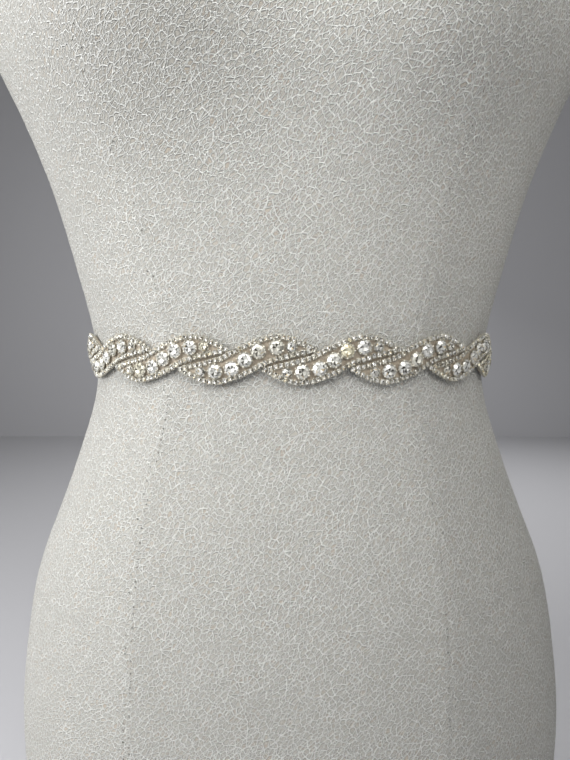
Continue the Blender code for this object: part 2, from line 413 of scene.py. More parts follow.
class Wire:
    """A shader socket that takes part in plain sums."""

    def __init__(self, paint, socket):
        self.paint = paint
        self.socket = socket

    def sum(self, kind, *values):
        return self.paint.node("ShaderNodeMath", {"operation": kind}, values)

    def __add__(self, other):
        return self.sum("ADD", self, other)

    __radd__ = __add__

    def __sub__(self, other):
        return self.sum("SUBTRACT", self, other)

    def __rsub__(self, other):
        return self.sum("SUBTRACT", other, self)

    def __mul__(self, other):
        return self.sum("MULTIPLY", self, other)

    __rmul__ = __mul__

    def __truediv__(self, other):
        return self.sum("DIVIDE", self, other)

    def top(self, other):
        return self.sum("MAXIMUM", self, other)

    def fade(self, low, high):
        """0 below low, 1 above high, eased between."""
        settings = {"interpolation_type": "SMOOTHSTEP"}
        return self.paint.node("ShaderNodeMapRange", settings, {0: self, 1: low, 2: high})


class Paint:
    """A material and its nodes."""

    def __init__(self, name):
        self.material = bpy.data.materials.new(name)
        self.material.use_nodes = True
        self.tree = self.material.node_tree
        self.shader = self.tree.nodes["Principled BSDF"]

    def node(self, kind, settings, values, output=0):
        node = self.tree.nodes.new(kind)
        for key, value in settings.items():
            setattr(node, key, value)
        pairs = values.items() if isinstance(values, dict) else enumerate(values)
        for key, value in pairs:
            if isinstance(value, Wire):
                self.tree.links.new(value.socket, node.inputs[key])
            else:
                node.inputs[key].default_value = value
        return Wire(self, node.outputs[output])

    def mix(self, share, first, second):
        settings = {"data_type": "RGBA"}
        return self.node("ShaderNodeMix", settings, {0: share, 6: first, 7: second}, 2)

    def set(self, **values):
        for key, value in values.items():
            socket = self.shader.inputs[key.replace("_", " ")]
            if isinstance(value, Wire):
                self.tree.links.new(value.socket, socket)
            else:
                socket.default_value = value


def rgba(colour):
    return (colour[0], colour[1], colour[2], 1.0)


def cover_material(look):
    """A web of raised pale threads over a smooth ground, drawn on the cover's own map, with painted shade on the
    ground beside each thread.
    """
    paint = Paint("crackle_cover")
    place = paint.node("ShaderNodeUVMap", {"uv_map": "UVMap"}, {})
    flat = {"noise_dimensions": "2D"}
    drift = paint.node("ShaderNodeTexNoise", flat, {"Vector": place, "Scale": 95.0, "Detail": 1.0}, "Color")
    drift = paint.node("ShaderNodeVectorMath", {"operation": "SUBTRACT"}, [drift, (0.5, 0.5, 0.5)])
    drift = paint.node("ShaderNodeVectorMath", {"operation": "SCALE"}, {0: drift, 3: 0.0024})
    bent = paint.node("ShaderNodeVectorMath", {"operation": "ADD"}, [place, drift])

    def web(long, wide, turn, half_thread):
        """Threads round cells of this size, drawn out along a slanting line."""
        sizes = {
            "Vector": bent,
            "Location": (turn * 0.013, turn * 0.029, 0.0),
            "Rotation": (0.0, 0.0, math.radians(turn)),
            "Scale": (long * look.cell_size, wide * look.cell_size, 1.0),
        }
        moved = paint.node("ShaderNodeMapping", {"vector_type": "TEXTURE"}, sizes)
        cells = {"voronoi_dimensions": "2D", "feature": "DISTANCE_TO_EDGE"}
        edge = paint.node("ShaderNodeTexVoronoi", cells, {"Vector": moved, "Scale": 1.0})
        inner = half_thread * 0.3 / (wide * look.cell_size)
        outer = half_thread * 1.5 / (wide * look.cell_size)
        return moved, edge, 1 - edge.fade(inner, outer)

    def strands(turn, apart, half_thread):
        """Long loose threads that wander about one direction, broken here and there."""
        sizes = {"Vector": place, "Rotation": (0.0, 0.0, math.radians(turn)), "Scale": (0.011, 0.0045, 1.0)}
        moved = paint.node("ShaderNodeMapping", {"vector_type": "TEXTURE"}, sizes)
        wander = paint.node("ShaderNodeTexNoise", flat, {"Vector": moved, "Scale": 1.0, "Detail": 1.0})
        breaks = paint.node("ShaderNodeTexNoise", flat, {"Vector": moved, "Scale": 1.7, "Detail": 0.0})
        across = paint.node("ShaderNodeSeparateXYZ", {}, [moved], "Y")
        turns = across * (0.0045 / apart) + wander * 0.6
        off = turns.sum("ABSOLUTE", turns.sum("FRACT", turns) - 0.5)
        line = 1 - off.fade(half_thread * 0.3 / apart, half_thread * 1.5 / apart)
        return line * breaks.fade(0.36, 0.46)

    main_place, main_edge, main = web(1.4, 0.76, 50.0, 0.00019)
    loose = strands(40.0, 0.0032, 0.00019)
    steep = strands(64.0, 0.0042, 0.00018)
    cross = web(1.2, 0.8, 4.0, 0.00015)[2]
    patch = paint.node("ShaderNodeTexNoise", flat, {"Vector": place, "Scale": 75.0, "Detail": 2.0})
    grain = paint.node("ShaderNodeTexNoise", flat, {"Vector": place, "Scale": 1400.0, "Detail": 1.0})
    thin = cross * (0.3 + 0.4 * patch.fade(0.35, 0.65))
    threads = (main * 0.9).top(loose * 0.85).top(steep * 0.8).top(thin) * (0.7 + 0.6 * grain)
    tints = {"voronoi_dimensions": "2D", "feature": "F1"}
    tint = paint.node("ShaderNodeTexVoronoi", tints, {"Vector": main_place, "Scale": 1.0}, "Color")
    chance = paint.node("ShaderNodeSeparateColor", {}, {"Color": tint}, "Red")
    bare = chance.fade(0.45, 1.0) * main_edge.fade(0.06, 0.2) * patch.fade(0.35, 0.65) * 0.7
    ground = paint.mix(bare, rgba(look.ground_colour), rgba(look.bare_colour))
    # Painted shade: the ground is darkened beside the raised threads, where their shadows would fall.
    shade = (1 - main_edge.fade(0.14, 0.3)) * 0.6
    ground = paint.mix(shade, ground, rgba(look.painted_shade_colour))
    colour = paint.mix(threads, ground, rgba(look.thread_colour))
    # Painted light and shade: the side fronts' colour scaled paler on the left and darker on the right.
    panel = paint.node("ShaderNodeAttribute", {"attribute_name": "panel_painted_light"}, {}, "Fac")
    colour = paint.node("ShaderNodeVectorMath", {"operation": "SCALE"}, {0: colour, 3: panel})
    height = threads + grain * 0.3
    bump = {"Strength": 0.9, "Distance": 0.0013, "Height": height}
    paint.set(Base_Color=colour, Roughness=0.86, Normal=paint.node("ShaderNodeBump", {}, bump))
    paint.shader.inputs["Specular IOR Level"].default_value = 0.25
    return paint.material


def backing_material(look):
    paint = Paint("backing_tape")
    place = paint.node("ShaderNodeTexCoord", {}, {}, "Object")
    weave = paint.node("ShaderNodeTexNoise", {}, {"Vector": place, "Scale": 900.0, "Detail": 3.0})
    dark = tuple(0.62 * x for x in look.backing_colour)
    colour = paint.mix(weave.fade(0.3, 0.7), rgba(dark), rgba(look.backing_colour))
    bump = {"Strength": 0.3, "Distance": 0.0002, "Height": weave}
    paint.set(Base_Color=colour, Roughness=0.6, Normal=paint.node("ShaderNodeBump", {}, bump))
    return paint.material


def silver_material(look):
    paint = Paint("bright_silver")
    place = paint.node("ShaderNodeTexCoord", {}, {}, "Object")
    rub = paint.node("ShaderNodeTexNoise", {}, {"Vector": place, "Scale": 700.0, "Detail": 2.0})
    dull = tuple(0.8 * x for x in look.silver_colour)
    colour = paint.mix(rub.fade(0.35, 0.6), rgba(dull), rgba(look.silver_colour))
    paint.set(Base_Color=colour, Metallic=0.75, Roughness=0.28 + 0.2 * rub)
    return paint.material


def crystal_material(look):
    paint = Paint("cut_crystal")
    # Painted reflections: each facet gets a flat colour from dark to bright, standing in for what it reflects or
    # lets through.
    tone = paint.node("ShaderNodeAttribute", {"attribute_name": "facet_tone"}, {}, "Fac")
    ramp = paint.tree.nodes.new("ShaderNodeValToRGB")
    ramp.color_ramp.interpolation = "CONSTANT"
    stops = (
        (0.0, look.dark_facet),
        (0.16, look.warm_facet),
        (0.25, look.grey_facet),
        (0.48, look.pale_facet),
        (0.74, look.bright_facet),
    )
    while len(ramp.color_ramp.elements) < len(stops):
        ramp.color_ramp.elements.new(1.0)
    for element, (place, colour) in zip(ramp.color_ramp.elements, stops):
        element.position = place
        element.color = rgba(colour)
    paint.tree.links.new(tone.socket, ramp.inputs[0])
    tint = paint.node("ShaderNodeAttribute", {"attribute_name": "stone_tint"}, {}, "Fac")
    share = {"data_type": "RGBA", "blend_type": "MULTIPLY"}
    facets = {0: tint, 6: Wire(paint, ramp.outputs[0]), 7: rgba(look.tinted_stone)}
    colour = paint.node("ShaderNodeMix", share, facets, 2)
    paint.set(Base_Color=colour, Metallic=0.35, Roughness=0.27)
    paint.shader.inputs["Coat Weight"].default_value = 0.25
    paint.shader.inputs["Coat Roughness"].default_value = 0.03
    return paint.material


def plain_material(name, colour, rough, metal=0.0):
    paint = Paint(name)
    paint.set(Base_Color=rgba(colour), Roughness=rough, Metallic=metal)
    return paint.material


_made = {}


def finish_for(name):
    """The material of that name, made once."""
    look = bpy.context.scene.sash_look
    makers = {
        "cover": cover_material,
        "backing": backing_material,
        "silver": silver_material,
        "crystal": crystal_material,
    }
    if name not in _made:
        _made[name] = makers[name](look)
    return _made[name]


def new_piece(name, arrays, materials, **marks):
    """A mesh object in metres from arrays that are already in place, with a value a face."""
    points, faces, slots = arrays
    mesh = bpy.data.meshes.new(name)
    mesh.from_pydata([tuple(point) for point in points], [], faces)
    for material in materials:
        mesh.materials.append(material)
    mesh.polygons.foreach_set("material_index", np.asarray(slots, np.int32))
    for mark, values in marks.items():
        layer = mesh.attributes.new(mark, "FLOAT", "FACE")
        layer.data.foreach_set("value", np.asarray(values, np.float32))
    mesh.update()
    piece = bpy.data.objects.new(name, mesh)
    bpy.context.scene.collection.objects.link(piece)
    return piece


# --- the dress form -----------------------------------------------------------


def plate_angles(height):
    """Where the flat arm plate begins and ends, as angles from the front."""
    wide = float(half_width(height))
    if wide <= ARM_PLATE_X + 0.5:
        return 90.0 - 3.0, 90.0 + 3.0
    found = []
    for depth in (float(front_depth(height)), float(back_depth(height))):
        y = depth * (1 - (ARM_PLATE_X / wide) ** ROUNDNESS) ** (1 / ROUNDNESS)
        found.append(math.degrees(math.atan2(ARM_PLATE_X, y)))
    return min(found[0], 87.0), max(180 - found[1], 93.0)


PANEL_PARTS = (13, 9, 7, 7, 9, 11)


def seam_lift(away, rise):
    """How far the cover stands out at this many degrees from a seam."""
    away = abs(away)
    return rise * max(0.0, 1 - away / CREASE_REACH) - GROOVE_DEPTH * math.exp(-((away / 0.4) ** 2))


def column_angles(height, crease=CREASE_RISE):
    """Angles in degrees and groove depths of the cover's mesh from front to back, on one side."""
    plate_front, plate_back = plate_angles(height)
    keys = [0.0, min(front_seam(height), plate_front - 2), plate_front]
    keys += [90.0, plate_back, max(back_seam(height), plate_back + 2), 180.0]
    on_plate = half_width(height) > ARM_PLATE_X + 0.5
    shown = {
        1: height < SHOULDER_HEIGHT,
        2: on_plate,
        3: height < ARM_BOTTOM or height > 300,
        4: on_plate,
        5: height < SHOULDER_HEIGHT,
        6: True,
    }
    angles = []
    for part, (first, last) in enumerate(zip(keys, keys[1:])):
        width = last - first
        near = [min(side, width * 0.06 * (i + 1)) for i, side in enumerate(SEAM_NEAR)]
        start = [0.0] + (near if part > 0 else [])
        end = [width - x for x in reversed(near)]
        inner = np.linspace(start[-1], end[0], PANEL_PARTS[part] + 1)[1:-1]
        angles += [first + offset for offset in start + list(inner) + end]
    angles.append(180.0)
    rises = {key: crease for key in shown}
    rises[2] = rises[4] = 0.0
    rises[6] = CREASE_RISE
    lifts = [sum(seam_lift(a - keys[key], rises[key]) for key in shown if shown[key]) for a in angles]
    return angles, lifts


def cover_rows():
    count = round((FORM_SECTIONS[-2][0] - FORM_SECTIONS[1][0]) / COVER_ROW)
    rows = list(np.linspace(FORM_SECTIONS[1][0], FORM_SECTIONS[-2][0], count + 1))
    start = [FORM_SECTIONS[0][0], FORM_SECTIONS[0][0] + 1.2]
    end = [FORM_SECTIONS[-1][0] - 1.0, FORM_SECTIONS[-1][0]]
    return start + rows + end


def cover_map(cover, rows, around):
    """Lays the cover's texture map out in metres: along each row from the front, and up."""
    layer = cover.data.uv_layers.active.data
    spots = np.zeros(len(layer) * 2)
    layer.foreach_get("uv", spots)
    column = np.rint(spots[0::2] * around).astype(int)
    level = np.rint(spots[1::2] * (len(rows) - 1)).astype(int)
    for i, height in enumerate(rows):
        angles = column_angles(height)[0]
        ring = np.radians(np.array([-a for a in angles[::-1]] + angles[1:]))
        line = form_surface(ring, height)
        steps = np.linalg.norm(np.diff(line, axis=0), axis=1)
        lengths = np.concatenate([[0.0], np.cumsum(steps)])
        lengths -= lengths[around // 2]
        picked = level == i
        spots[0::2][picked] = lengths[column[picked]] * MM
        spots[1::2][picked] = height * MM
    layer.foreach_set("uv", spots)


def paint_panel_light(cover, around):
    """Painted light and shade on the two side fronts: the left one made paler and the right one darker, as the
    light falls from the left.
    """
    seam = PANEL_PARTS[0] + len(SEAM_NEAR)
    side = seam + PANEL_PARTS[1] + PANEL_PARTS[2] + 4 * len(SEAM_NEAR)
    tones = []
    for face in cover.data.polygons:
        column = face.center.x * around / 2
        on_side = seam < abs(column) < side
        tones.append((LEFT_PAINTED_LIGHT if column < 0 else RIGHT_PAINTED_SHADE) if on_side else 1.0)
    layer = cover.data.attributes.new("panel_painted_light", "FLOAT", "FACE")
    layer.data.foreach_set("value", np.array(tones, np.float32))


def make_cover():
    draw = np.random.default_rng(7)
    rows = cover_rows()
    width = len(column_angles(0.0)[0])
    around = 2 * (width - 1)
    start_clean()
    bpy.ops.mesh.primitive_grid_add(x_subdivisions=around, y_subdivisions=len(rows) - 1, size=2.0)
    cover = named("form_cover")
    grid = np.array([tuple(v.co) for v in cover.data.vertices])
    column = np.rint((grid[:, 0] + 1) / 2 * around).astype(int)
    level = np.rint((grid[:, 1] + 1) / 2 * (len(rows) - 1)).astype(int)
    points = np.zeros_like(grid)
    for i, height in enumerate(rows):
        angles, left = column_angles(height, LEFT_CREASE)
        right = column_angles(height, RIGHT_CREASE)[1]
        ring = np.radians(np.array([-a for a in angles[::-1]] + angles[1:]))
        out = np.array(left[::-1] + right[1:])
        if 1 < i < len(rows) - 2:
            out[1:-1] += draw.uniform(-COVER_BUMPS, COVER_BUMPS, around - 1)
        picked = level == i
        points[picked] = form_surface(ring[column[picked]], height, out[column[picked]]) * MM
    paint_panel_light(cover, around)
    cover_map(cover, rows, around)
    cover.data.vertices.foreach_set("co", points.ravel())
    cover.data.update()
    edit("SELECT")
    bpy.ops.mesh.remove_doubles(threshold=0.000002)
    bpy.ops.mesh.select_all(action="DESELECT")
    bpy.ops.mesh.select_mode(type="EDGE")
    bpy.ops.mesh.select_non_manifold(extend=False, use_wire=False, use_boundary=True)
    bpy.ops.mesh.fill_holes(sides=0)
    done()
    face_out(cover)
    layer = cover.data.uv_layers.active.data
    tones = cover.data.attributes["panel_painted_light"].data
    for face in cover.data.polygons:
        if len(face.vertices) > 4:
            tones[face.index].value = 1.0
            for loop in face.loop_indices:
                point = cover.data.vertices[cover.data.loops[loop].vertex_index].co
                layer[loop].uv = (point.x, point.y)
    cover.data.materials.append(finish_for("cover"))
    bpy.ops.object.select_all(action="DESELECT")
    cover.select_set(True)
    bpy.context.view_layer.objects.active = cover
    bpy.ops.object.shade_smooth_by_angle(angle=math.radians(50))
    cover.select_set(False)
    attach(cover, "root")
    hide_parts("form_torso")
    return cover


def stitch_model():
    """One short thread stitch along X, 1.7 mm long, with its dark needle hole at one end."""
    start_clean()
    bpy.ops.mesh.primitive_cylinder_add(vertices=6, radius=0.17 * MM, depth=1.3 * MM, rotation=(0, math.pi / 2, 0))
    stitch = named("stitch")
    settle(stitch)
    edit()
    pick_faces(stitch, lambda middle, normal: abs(normal.x) > 0.9)
    bpy.ops.mesh.inset(thickness=0.08 * MM)
    bpy.ops.mesh.select_all(action="DESELECT")
    done()
    for vertex in stitch.data.vertices:
        if abs(vertex.co.x) > 0.6 * MM and math.hypot(vertex.co.y, vertex.co.z) < 0.12 * MM:
            vertex.co.z -= 0.1 * MM
            vertex.co.x *= 1.25
    return mesh_arrays(stitch)


def make_stitches():
    stitch = stitch_model()
    draw = random.Random(11)
    paths = []
    top = SHOULDER_HEIGHT - 6
    for side, crease in ((-1, LEFT_CREASE), (1, RIGHT_CREASE)):
        paths.append((lambda h, s=side: s * front_seam(h), crease, -338.0, top))
        paths.append((lambda h, s=side: s * back_seam(h), crease, -338.0, top))
        paths.append((lambda h, s=side: s * 90.0, crease, -338.0, ARM_BOTTOM - 4))
    paths.append((lambda h: 180.0, CREASE_RISE, -338.0, 396.0))
    parts = []
    for path, crease, low, high in paths:
        height = low
        while height < high:
            here = np.array([height - 0.6, height + 0.6])
            angles = np.radians([path(h) for h in here])
            ends = form_surface(angles, here, crease - GROOVE_DEPTH)
            along = ends[1] - ends[0]
            along /= np.linalg.norm(along)
            out = np.array([math.sin(angles[0]), -math.cos(angles[0]), 0.0])
            across = np.cross(out, along)
            out = np.cross(along, across)
            points = stitch[0] @ np.array([along, across, out])
            points += ends.mean(axis=0)
            parts.append((points * MM, stitch[1], stitch[2]))
            height += 2.6 + draw.uniform(-0.3, 0.3)
    thread = plain_material("seam_thread", (0.60, 0.595, 0.56), 0.8)
    piece = new_piece("seam_stitches", join_arrays(parts), [thread])
    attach(piece, "root")
    return piece


def make_needle_holes():
    """Dark dots beside the front seams where a coarse needle pricked the cover: painted shade of the needle holes,
    set just above the cloth.
    """
    start_clean()
    bpy.ops.mesh.primitive_cone_add(vertices=6, radius1=0.42 * MM, radius2=0.2 * MM, depth=0.2 * MM)
    hole = mesh_arrays(named("needle_hole"))
    draw = random.Random(5)
    parts = []
    for side, low, high, often in ((-1, -250.0, -12.0, 1.0), (-1, 30.0, 200.0, 0.4), (1, -250.0, 160.0, 0.25)):
        height = low
        while height < high:
            if draw.random() < often:
                away = draw.choice((-0.7, 0.7))
                angle = math.radians(side * front_seam(height) + away)
                crease = LEFT_CREASE if side < 0 else RIGHT_CREASE
                point = form_surface(angle, height, seam_lift(away, crease) + 0.13)
                out = np.array([math.sin(angle), -math.cos(angle), 0.0])
                across = np.array([out[1], -out[0], 0.0])
                turn = np.array([across, np.array([0.0, 0.0, 1.0]), out])
                size = draw.uniform(0.7, 1.4)
                parts.append(((hole[0] * size @ turn + point) * MM, hole[1], hole[2]))
            height += draw.uniform(2.2, 4.6)
    # Painted shade: near-black for the shade inside the needle holes.
    dark = plain_material("needle_hole_painted_shade", (0.13, 0.125, 0.11), 0.9)
    piece = new_piece("needle_holes", join_arrays(parts), [dark])
    face_out(piece)
    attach(piece, "root")
    return piece


# --- the sash -----------------------------------------------------------------


def slope_of(line, along):
    return (line(along + 0.1) - line(along - 0.1)) / 0.2


def band_outline(along):
    tip = LOWER_CHAIN[-1][0]
    top, bottom = TAPE_HALF, -TAPE_HALF
    for middle in motif_middles():
        local = along - middle
        if abs(local) <= tip:
            rise = 1.3 * math.hypot(1.0, slope_of(upper_line, local)) - BAND_INSET
            fall = 1.3 * math.hypot(1.0, slope_of(lower_line, local)) - BAND_INSET
            top = max(top, float(upper_line(local)) + rise)
            bottom = min(bottom, float(lower_line(local)) - fall)
    return bottom, top


def make_band():
    """The backing tape: a flat strip cut to the trim's outline, given its thickness and laid round."""
    steps, across = 480, 6
    end = HALF_RING - BAND_END
    start_clean()
    bpy.ops.mesh.primitive_grid_add(x_subdivisions=steps, y_subdivisions=across, size=2.0)
    band = named("backing_band")
    grid = np.array([tuple(v.co) for v in band.data.vertices])
    outlines = {}
    flat = np.zeros_like(grid)
    area = 0.0
    for i, (x, y, _) in enumerate(grid):
        key = round((x + 1) / 2 * steps)
        if key not in outlines:
            outlines[key] = band_outline(-end + 2 * end * key / steps)
            area += (outlines[key][1] - outlines[key][0]) * 2 * end / steps
        bottom, top = outlines[key]
        flat[i] = (-end + 2 * end * key / steps, bottom + (top - bottom) * (y + 1) / 2, 0.0)
    band.data.vertices.foreach_set("co", (flat * MM).ravel())
    thick = band.modifiers.new("thickness", "SOLIDIFY")
    thick.thickness = (BAND_FACE - BAND_UNDER) * MM
    thick.offset = 1.0
    band.select_set(True)
    bpy.context.view_layer.objects.active = band
    bpy.ops.object.modifier_apply(modifier=thick.name)
    flat = np.array([tuple(v.co) for v in band.data.vertices]) / MM
    flat[:, 2] += BAND_UNDER - flat[:, 2].min()
    band.data.vertices.foreach_set("co", on_form(flat).ravel())
    band.data.update()
    face_out(band)
    band.data.materials.append(finish_for("backing"))
    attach(band, "root")
    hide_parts("sash_band")
    area * MM * MM
    return band


def backing_plate():
    """The thin plate under one motif, in its outline, flat."""
    steps = 56
    start_clean()
    bpy.ops.mesh.primitive_grid_add(x_subdivisions=steps, y_subdivisions=2, size=2.0)
    plate = named("motif_plate")
    reach = LOWER_CHAIN[-1][0] + 0.2
    for vertex in plate.data.vertices:
        along = vertex.co.x * reach
        low = float(lower_line(along)) - 0.3
        high = float(upper_line(along)) + 0.3
        vertex.co = Vector((along, low + (high - low) * (vertex.co.y + 1) / 2, 0.0)) * MM
    thick = plate.modifiers.new("thickness", "SOLIDIFY")
    thick.thickness = (MOTIF_FACE - MOTIF_UNDER) * MM
    thick.offset = 1.0
    plate.select_set(True)
    bpy.context.view_layer.objects.active = plate
    bpy.ops.object.modifier_apply(modifier=thick.name)
    face_out(plate)
    rims = [abs(face.normal.z) < 0.5 for face in plate.data.polygons]
    points, faces, _ = mesh_arrays(plate)
    points[:, 2] += MOTIF_UNDER - points[:, 2].min()
    return points, faces, [SILVER if rim else BACKING for rim in rims]


def ring_up(obj, size, turn, rise):
    """Draws the selected top face out into the next ring of a cut stone or cup."""
    bpy.ops.mesh.extrude_region_move(TRANSFORM_OT_translate={"value": (0, 0, rise * MM)})
    if size != 1.0:
        bpy.ops.transform.resize(value=(size, size, 1.0), center_override=(0, 0, 0))
    if turn:
        bpy.ops.transform.rotate(value=turn, orient_axis="Z", center_override=(0, 0, 0))


def cut_stone(radius, sides, rings, dip):
    """A stone on z = 0: rings of (radius share, half turns, rise), then a table cut to a star."""
    start_clean()
    bpy.ops.mesh.primitive_circle_add(vertices=sides, radius=radius * MM, fill_type="NGON")
    stone = named("cut_stone")
    edit("SELECT")
    before = 1.0
    for share, half_turns, rise in rings:
        ring_up(stone, share / before, half_turns * math.pi / sides, rise)
        before = share
    bpy.ops.mesh.poke(offset=-dip * MM)
    bpy.ops.mesh.select_all(action="SELECT")
    bpy.ops.mesh.quads_convert_to_tris(quad_method="FIXED", ngon_method="BEAUTY")
    bpy.ops.mesh.normals_make_consistent(inside=False)
    done()
    points, faces, _ = mesh_arrays(stone)
    return points, faces, [CRYSTAL] * len(faces)


def cup(radius, foot, height, sides, wall):
    """A tapered silver cup, open above, its bottom on z = 0."""
    start_clean()
    bpy.ops.mesh.primitive_cone_add(
        vertices=sides, radius1=foot * MM, radius2=radius * MM, depth=height * MM, location=(0, 0, height * MM / 2)
    )
    shell = named("stone_cup")
    settle(shell)
    bpy.context.view_layer.objects.active = shell
    shell.select_set(True)
    edit()
    pick_faces(shell, lambda middle, normal: normal.z > 0.9)
    bpy.ops.mesh.inset(thickness=wall * MM)
    bpy.ops.mesh.extrude_region_move(TRANSFORM_OT_translate={"value": (0, 0, -height * 0.45 * MM)})
    done()
    points, faces, _ = mesh_arrays(shell)
    return points, faces, [SILVER] * len(faces)


def bead_claw(reach, size, height):
    """A rounded claw end that grips the stone's edge."""
    start_clean()
    place = (reach * MM, 0, height * MM)
    bpy.ops.mesh.primitive_ico_sphere_add(subdivisions=1, radius=size * MM, location=place)
    claw = named("bead_claw")
    settle(claw)
    points, faces, _ = mesh_arrays(claw)
    return points, faces, [SILVER] * len(faces)


def set_stone(radius, top, claws, sides):
    """A set stone: cup, cut stone and claws, standing on the plate."""
    room = top - CUP_FOOT
    rim = room * 0.55
    parts = [cup(radius * 0.96, radius * 0.78, rim, sides * 2, radius * 0.1)]
    crown = room - rim * 0.75
    rings = ((1.0, 0, crown * 0.16), (0.84, 1, crown * 0.4), (0.52, 2, crown * 0.44))
    parts.append(placed(cut_stone(radius * 0.9, sides, rings, crown * 0.3), 0, 0, rim * 0.75))
    claw = bead_claw(radius * 0.9, radius * 0.15, rim + crown * 0.22)
    for i in range(claws):
        parts.append(placed(claw, 0, 0, 0, 2 * math.pi * (i + 0.5) / claws))
    return join_arrays(parts)


def chain_stone(radius, top):
    """One link of cup chain: a small round stone held by four rounded claws."""
    room = top - CUP_FOOT
    rim = room * 0.65
    parts = [cup(radius, radius * 0.82, rim, 8, radius * 0.12)]
    crown = room - rim * 0.8
    rings = ((1.0, 0, crown * 0.2), (0.6, 1, crown * 0.8))
    parts.append(placed(cut_stone(radius * 0.88, 6, rings, crown * 0.3), 0, 0, rim * 0.8))
    claw = bead_claw(radius * 0.88, radius * 0.25, rim + crown * 0.25)
    for i in range(4):
        parts.append(placed(claw, 0, 0, 0, math.pi / 2 * (i + 0.5)))
    return join_arrays(parts)


def chain_places(pitch):
    """(along, up, turn) of every chain stone of one motif: both tips and the two lines between."""
    tip = LOWER_CHAIN[-1][0]
    fine = np.linspace(-tip, tip, 2001)
    line = lower_line(fine)
    lengths = np.concatenate([[0.0], np.cumsum(np.hypot(np.diff(fine), np.diff(line)))])
    count = round(lengths[-1] / pitch)
    stations = np.interp(np.linspace(0, lengths[-1], count + 1), lengths, fine)
    places = []
    for along in stations[:-1]:
        turn = math.atan(float(slope_of(lower_line, along)))
        places.append((along, float(lower_line(along)), turn))
    return places + [(-along, -up, turn) for along, up, turn in places]


def painted_light_rays(model, rays):
    """A step up or down in painted reflection for each facet of a stone, so that painted rays of light and dark
    alternate.
    """
    points, faces, slots = model
    marks = []
    for face, slot in zip(faces, slots):
        x, y, _ = points[list(face)].mean(axis=0)
        ray = math.floor(math.atan2(y, x) / math.tau * rays)
        marks.append(0.0 if slot != CRYSTAL else (RAY_STEP if ray % 2 else -RAY_STEP))
    return marks


def make_motifs():
    sizes = bpy.context.scene.sash_sizes
    plate = backing_plate()
    link = chain_stone(sizes.chain_pitch / MM * 0.48, CHAIN_CREST)
    link[0][:, 1] *= LINK_SPREAD
    stones = {
        "large": set_stone(sizes.large_stone / MM / 2, LARGE_TOP, 8, 8),
        "small": set_stone(sizes.small_stone / MM / 2, SMALL_TOP, 6, 6),
    }
    rays = {"large": painted_light_rays(stones["large"], 16), "small": painted_light_rays(stones["small"], 12)}
    materials = [finish_for("backing"), finish_for("silver"), finish_for("crystal")]
    places = chain_places(sizes.chain_pitch / MM)
    pieces = []
    for number, middle in enumerate(motif_middles(), 1):
        draw = random.Random(100 + number)
        warmth = WARM_MOTIFS.get(number, 0.05)
        parts = [plate]
        tints = [0.0] * len(plate[1])
        marks = [0.0] * len(plate[1])
        for along, up, turn in places:
            jog = draw.uniform(-0.14, 0.14)
            lift = draw.uniform(-0.06, 0.06)
            spin = turn + draw.uniform(-0.25, 0.25)
            size = draw.uniform(0.94, 1.08)
            parts.append(placed(link, along, up + jog, CUP_FOOT + lift, spin, size))
            tints += [max(0.0, draw.gauss(warmth, 0.15))] * len(link[1])
            marks += [0.0] * len(link[1])
        for along, up, size in SET_STONES:
            jog = draw.uniform(-0.25, 0.25), draw.uniform(-0.2, 0.2)
            spin = draw.uniform(0, math.pi)
            parts.append(placed(stones[size], along + jog[0], up + jog[1], CUP_FOOT, spin))
            tints += [max(0.0, draw.gauss(warmth - 0.1, 0.25))] * len(stones[size][1])
            marks += rays[size]
        flat, faces, slots = join_arrays(parts)
        flat[:, 0] += middle
        # Painted reflections: a random tone for each facet, stepped up and down in rays on the set stones.
        tones = [min(max(draw.random() + mark, 0.0), 1.0) for mark in marks]
        arrays = (on_form(flat), faces, slots)
        name = "beaded_motif_%02d" % number
        piece = new_piece(name, arrays, materials, facet_tone=tones, stone_tint=tints)
        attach(piece, "root")
        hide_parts("crystal_motif_%02d" % number)
        pieces.append(piece)
    return pieces


def make_closure():
    """The hook and the eye keep their shapes and get bright metal."""
    silver = finish_for("silver")
    for node in ("closure_hook", "closure_eye"):
        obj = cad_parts[node]
        obj.data.materials.clear()
        obj.data.materials.append(silver)


# --- the stage ----------------------------------------------------------------


def make_stage():
    look = bpy.context.scene.sash_look
    start_clean()
    bpy.ops.mesh.primitive_plane_add(size=6.0, location=(0, 0, 0))
    floor = named("studio_floor")
    floor.data.materials.append(plain_material("pale_floor", look.floor_colour, 0.8))
    bpy.ops.mesh.primitive_plane_add(size=6.0, location=(0, 1.6, 3.0), rotation=(math.pi / 2, 0, 0))
    wall = named("studio_wall")
    settle(wall)
    wall.data.materials.append(plain_material("pale_wall", look.floor_colour, 0.9))


def area_light(name, place, target, size, power, colour=(1.0, 1.0, 1.0), spread=math.pi):
    data = bpy.data.lights.new(name, "AREA")
    data.shape = "RECTANGLE"
    data.size, data.size_y = size
    data.energy = power
    data.color = colour
    data.spread = spread
    light = bpy.data.objects.new(name, data)
    light.location = place
    light.rotation_euler = (Vector(target) - Vector(place)).to_track_quat("-Z", "Y").to_euler()
    bpy.context.scene.collection.objects.link(light)


